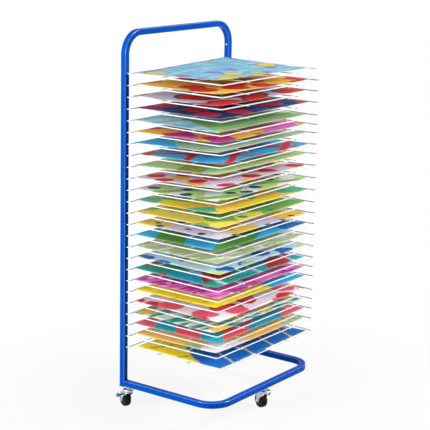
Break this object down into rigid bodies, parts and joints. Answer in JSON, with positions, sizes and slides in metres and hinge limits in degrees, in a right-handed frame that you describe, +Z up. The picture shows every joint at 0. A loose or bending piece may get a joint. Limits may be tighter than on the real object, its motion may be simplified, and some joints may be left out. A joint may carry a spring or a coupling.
{
  "type": "art drying rack",
  "caption": "Mobile drying rack: a bent square-tube hoop on a castored U base, with a stack of wire shelves hooked into slotted uprights that tip up to load wet sheets.",
  "frame": {"origin": "on the floor, in the middle of the rack's box", "axes": "+X to the right along the width, +Y to the back where the uprights stand, +Z up"},
  "size_m": [0.549, 0.3814, 1.128],
  "materials": {
    "frame_paint": "satin blue powder coat",
    "shelf_wire": "white plastic-coated steel wire",
    "zinc": "bright zinc plate",
    "lock_steel": "blued steel",
    "tyre": "black rubber",
    "black_plastic": "black moulded plastic",
    "race_nylon": "dark nylon"
  },
  "bodies": {
    "frame": {"left_upright": "frame_paint", "right_upright": "frame_paint", "top_handle": "frame_paint", "base_frame": "frame_paint", "handle_button_left": "zinc", "handle_button_right": "zinc", "foot_plug_left": "black_plastic", "foot_plug_right": "black_plastic", "castor_rear_left_insert": "zinc", "castor_rear_left_stem": "zinc", "castor_rear_right_insert": "zinc", "castor_rear_right_stem": "zinc", "castor_front_insert": "zinc", "castor_front_stem": "zinc"},
    "shelf_01": {"shelf_01": "shelf_wire"},
    "shelf_02": {"shelf_02": "shelf_wire"},
    "shelf_03": {"shelf_03": "shelf_wire"},
    "shelf_04": {"shelf_04": "shelf_wire"},
    "shelf_05": {"shelf_05": "shelf_wire"},
    "shelf_06": {"shelf_06": "shelf_wire"},
    "shelf_07": {"shelf_07": "shelf_wire"},
    "shelf_08": {"shelf_08": "shelf_wire"},
    "shelf_09": {"shelf_09": "shelf_wire"},
    "shelf_10": {"shelf_10": "shelf_wire"},
    "shelf_11": {"shelf_11": "shelf_wire"},
    "shelf_12": {"shelf_12": "shelf_wire"},
    "shelf_13": {"shelf_13": "shelf_wire"},
    "shelf_14": {"shelf_14": "shelf_wire"},
    "shelf_15": {"shelf_15": "shelf_wire"},
    "shelf_16": {"shelf_16": "shelf_wire"},
    "shelf_17": {"shelf_17": "shelf_wire"},
    "shelf_18": {"shelf_18": "shelf_wire"},
    "shelf_19": {"shelf_19": "shelf_wire"},
    "shelf_20": {"shelf_20": "shelf_wire"},
    "shelf_21": {"shelf_21": "shelf_wire"},
    "shelf_22": {"shelf_22": "shelf_wire"},
    "shelf_23": {"shelf_23": "shelf_wire"},
    "shelf_24": {"shelf_24": "shelf_wire"},
    "shelf_25": {"shelf_25": "shelf_wire"},
    "castor_rear_left_swivel": {"castor_rear_left_race": "race_nylon", "castor_rear_left_fork": "zinc", "castor_rear_left_axle": "zinc", "castor_rear_left_axle_nut": "zinc"},
    "castor_rear_left_wheel": {"castor_rear_left_hub": "black_plastic", "castor_rear_left_tyre": "tyre"},
    "castor_rear_left_lock": {"castor_rear_left_lock": "lock_steel"},
    "castor_rear_right_swivel": {"castor_rear_right_race": "race_nylon", "castor_rear_right_fork": "zinc", "castor_rear_right_axle": "zinc", "castor_rear_right_axle_nut": "zinc"},
    "castor_rear_right_wheel": {"castor_rear_right_hub": "black_plastic", "castor_rear_right_tyre": "tyre"},
    "castor_rear_right_lock": {"castor_rear_right_lock": "lock_steel"},
    "castor_front_swivel": {"castor_front_race": "race_nylon", "castor_front_fork": "zinc", "castor_front_axle": "zinc", "castor_front_axle_nut": "zinc"},
    "castor_front_wheel": {"castor_front_hub": "black_plastic", "castor_front_tyre": "tyre"},
    "castor_front_lock": {"castor_front_lock": "lock_steel"}
  },
  "joints": [
    {"name": "shelf_01_tip", "type": "hinge", "parent": "frame", "child": "shelf_01", "pos_m": [0, 0.16181, 1.00325], "axis": [-1, 0, 0], "range_deg": [0, 50]},
    {"name": "shelf_02_tip", "type": "hinge", "parent": "frame", "child": "shelf_02", "pos_m": [0, 0.16181, 0.96925], "axis": [-1, 0, 0], "range_deg": [0, 3.9]},
    {"name": "shelf_03_tip", "type": "hinge", "parent": "frame", "child": "shelf_03", "pos_m": [0, 0.16181, 0.93525], "axis": [-1, 0, 0], "range_deg": [0, 3.7]},
    {"name": "shelf_04_tip", "type": "hinge", "parent": "frame", "child": "shelf_04", "pos_m": [0, 0.16181, 0.90125], "axis": [-1, 0, 0], "range_deg": [0, 4]},
    {"name": "shelf_05_tip", "type": "hinge", "parent": "frame", "child": "shelf_05", "pos_m": [0, 0.16181, 0.86725], "axis": [-1, 0, 0], "range_deg": [0, 4.7]},
    {"name": "shelf_06_tip", "type": "hinge", "parent": "frame", "child": "shelf_06", "pos_m": [0, 0.16181, 0.83325], "axis": [-1, 0, 0], "range_deg": [0, 2.9]},
    {"name": "shelf_07_tip", "type": "hinge", "parent": "frame", "child": "shelf_07", "pos_m": [0, 0.16181, 0.79925], "axis": [-1, 0, 0], "range_deg": [0, 2.5]},
    {"name": "shelf_08_tip", "type": "hinge", "parent": "frame", "child": "shelf_08", "pos_m": [0, 0.16181, 0.76525], "axis": [-1, 0, 0], "range_deg": [0, 4.1]},
    {"name": "shelf_09_tip", "type": "hinge", "parent": "frame", "child": "shelf_09", "pos_m": [0, 0.16181, 0.73125], "axis": [-1, 0, 0], "range_deg": [0, 2.9]},
    {"name": "shelf_10_tip", "type": "hinge", "parent": "frame", "child": "shelf_10", "pos_m": [0, 0.16181, 0.69725], "axis": [-1, 0, 0], "range_deg": [0, 4.4]},
    {"name": "shelf_11_tip", "type": "hinge", "parent": "frame", "child": "shelf_11", "pos_m": [0, 0.16181, 0.66325], "axis": [-1, 0, 0], "range_deg": [0, 4.7]},
    {"name": "shelf_12_tip", "type": "hinge", "parent": "frame", "child": "shelf_12", "pos_m": [0, 0.16181, 0.62925], "axis": [-1, 0, 0], "range_deg": [0, 4.6]},
    {"name": "shelf_13_tip", "type": "hinge", "parent": "frame", "child": "shelf_13", "pos_m": [0, 0.16181, 0.59525], "axis": [-1, 0, 0], "range_deg": [0, 4.6]},
    {"name": "shelf_14_tip", "type": "hinge", "parent": "frame", "child": "shelf_14", "pos_m": [0, 0.16181, 0.56125], "axis": [-1, 0, 0], "range_deg": [0, 3.9]},
    {"name": "shelf_15_tip", "type": "hinge", "parent": "frame", "child": "shelf_15", "pos_m": [0, 0.16181, 0.52725], "axis": [-1, 0, 0], "range_deg": [0, 3.8]},
    {"name": "shelf_16_tip", "type": "hinge", "parent": "frame", "child": "shelf_16", "pos_m": [0, 0.16181, 0.49325], "axis": [-1, 0, 0], "range_deg": [0, 4.1]},
    {"name": "shelf_17_tip", "type": "hinge", "parent": "frame", "child": "shelf_17", "pos_m": [0, 0.16181, 0.45925], "axis": [-1, 0, 0], "range_deg": [0, 4.1]},
    {"name": "shelf_18_tip", "type": "hinge", "parent": "frame", "child": "shelf_18", "pos_m": [0, 0.16181, 0.42525], "axis": [-1, 0, 0], "range_deg": [0, 4.3]},
    {"name": "shelf_19_tip", "type": "hinge", "parent": "frame", "child": "shelf_19", "pos_m": [0, 0.16181, 0.39125], "axis": [-1, 0, 0], "range_deg": [0, 3.2]},
    {"name": "shelf_20_tip", "type": "hinge", "parent": "frame", "child": "shelf_20", "pos_m": [0, 0.16181, 0.35725], "axis": [-1, 0, 0], "range_deg": [0, 3.1]},
    {"name": "shelf_21_tip", "type": "hinge", "parent": "frame", "child": "shelf_21", "pos_m": [0, 0.16181, 0.32325], "axis": [-1, 0, 0], "range_deg": [0, 5.6]},
    {"name": "shelf_22_tip", "type": "hinge", "parent": "frame", "child": "shelf_22", "pos_m": [0, 0.16181, 0.28925], "axis": [-1, 0, 0], "range_deg": [0, 3.1]},
    {"name": "shelf_23_tip", "type": "hinge", "parent": "frame", "child": "shelf_23", "pos_m": [0, 0.16181, 0.25525], "axis": [-1, 0, 0], "range_deg": [0, 3.4]},
    {"name": "shelf_24_tip", "type": "hinge", "parent": "frame", "child": "shelf_24", "pos_m": [0, 0.16181, 0.22125], "axis": [-1, 0, 0], "range_deg": [0, 3.6]},
    {"name": "shelf_25_tip", "type": "hinge", "parent": "frame", "child": "shelf_25", "pos_m": [0, 0.16181, 0.18725], "axis": [-1, 0, 0], "range_deg": [0, 4.8]},
    {"name": "castor_rear_left_turn", "type": "hinge", "parent": "frame", "child": "castor_rear_left_swivel", "pos_m": [-0.25, 0.15081, 0.055], "axis": [0, 0, 1], "continuous": true},
    {"name": "castor_rear_left_roll", "type": "hinge", "parent": "castor_rear_left_swivel", "child": "castor_rear_left_wheel", "pos_m": [-0.24326, 0.1675, 0.023], "axis": [0.9272, -0.3746, 0], "continuous": true},
    {"name": "castor_rear_left_lock_push", "type": "slide", "parent": "castor_rear_left_swivel", "child": "castor_rear_left_lock", "axis": [0.9272, -0.3746, 0], "range_m": [0, 0.002]},
    {"name": "castor_rear_right_turn", "type": "hinge", "parent": "frame", "child": "castor_rear_right_swivel", "pos_m": [0.25, 0.15081, 0.055], "axis": [0, 0, 1], "continuous": true},
    {"name": "castor_rear_right_roll", "type": "hinge", "parent": "castor_rear_right_swivel", "child": "castor_rear_right_wheel", "pos_m": [0.24326, 0.1675, 0.023], "axis": [0.9272, 0.3746, 0], "continuous": true},
    {"name": "castor_rear_right_lock_push", "type": "slide", "parent": "castor_rear_right_swivel", "child": "castor_rear_right_lock", "axis": [-0.9272, -0.3746, 0], "range_m": [0, 0.002]},
    {"name": "castor_front_turn", "type": "hinge", "parent": "frame", "child": "castor_front_swivel", "pos_m": [0, -0.17369, 0.055], "axis": [0, 0, 1], "continuous": true},
    {"name": "castor_front_roll", "type": "hinge", "parent": "castor_front_swivel", "child": "castor_front_wheel", "pos_m": [0.00616, -0.15678, 0.023], "axis": [0.9397, -0.342, 0], "continuous": true},
    {"name": "castor_front_lock_push", "type": "slide", "parent": "castor_front_swivel", "child": "castor_front_lock", "axis": [-0.9397, 0.342, 0], "range_m": [0, 0.002]}
  ]
}
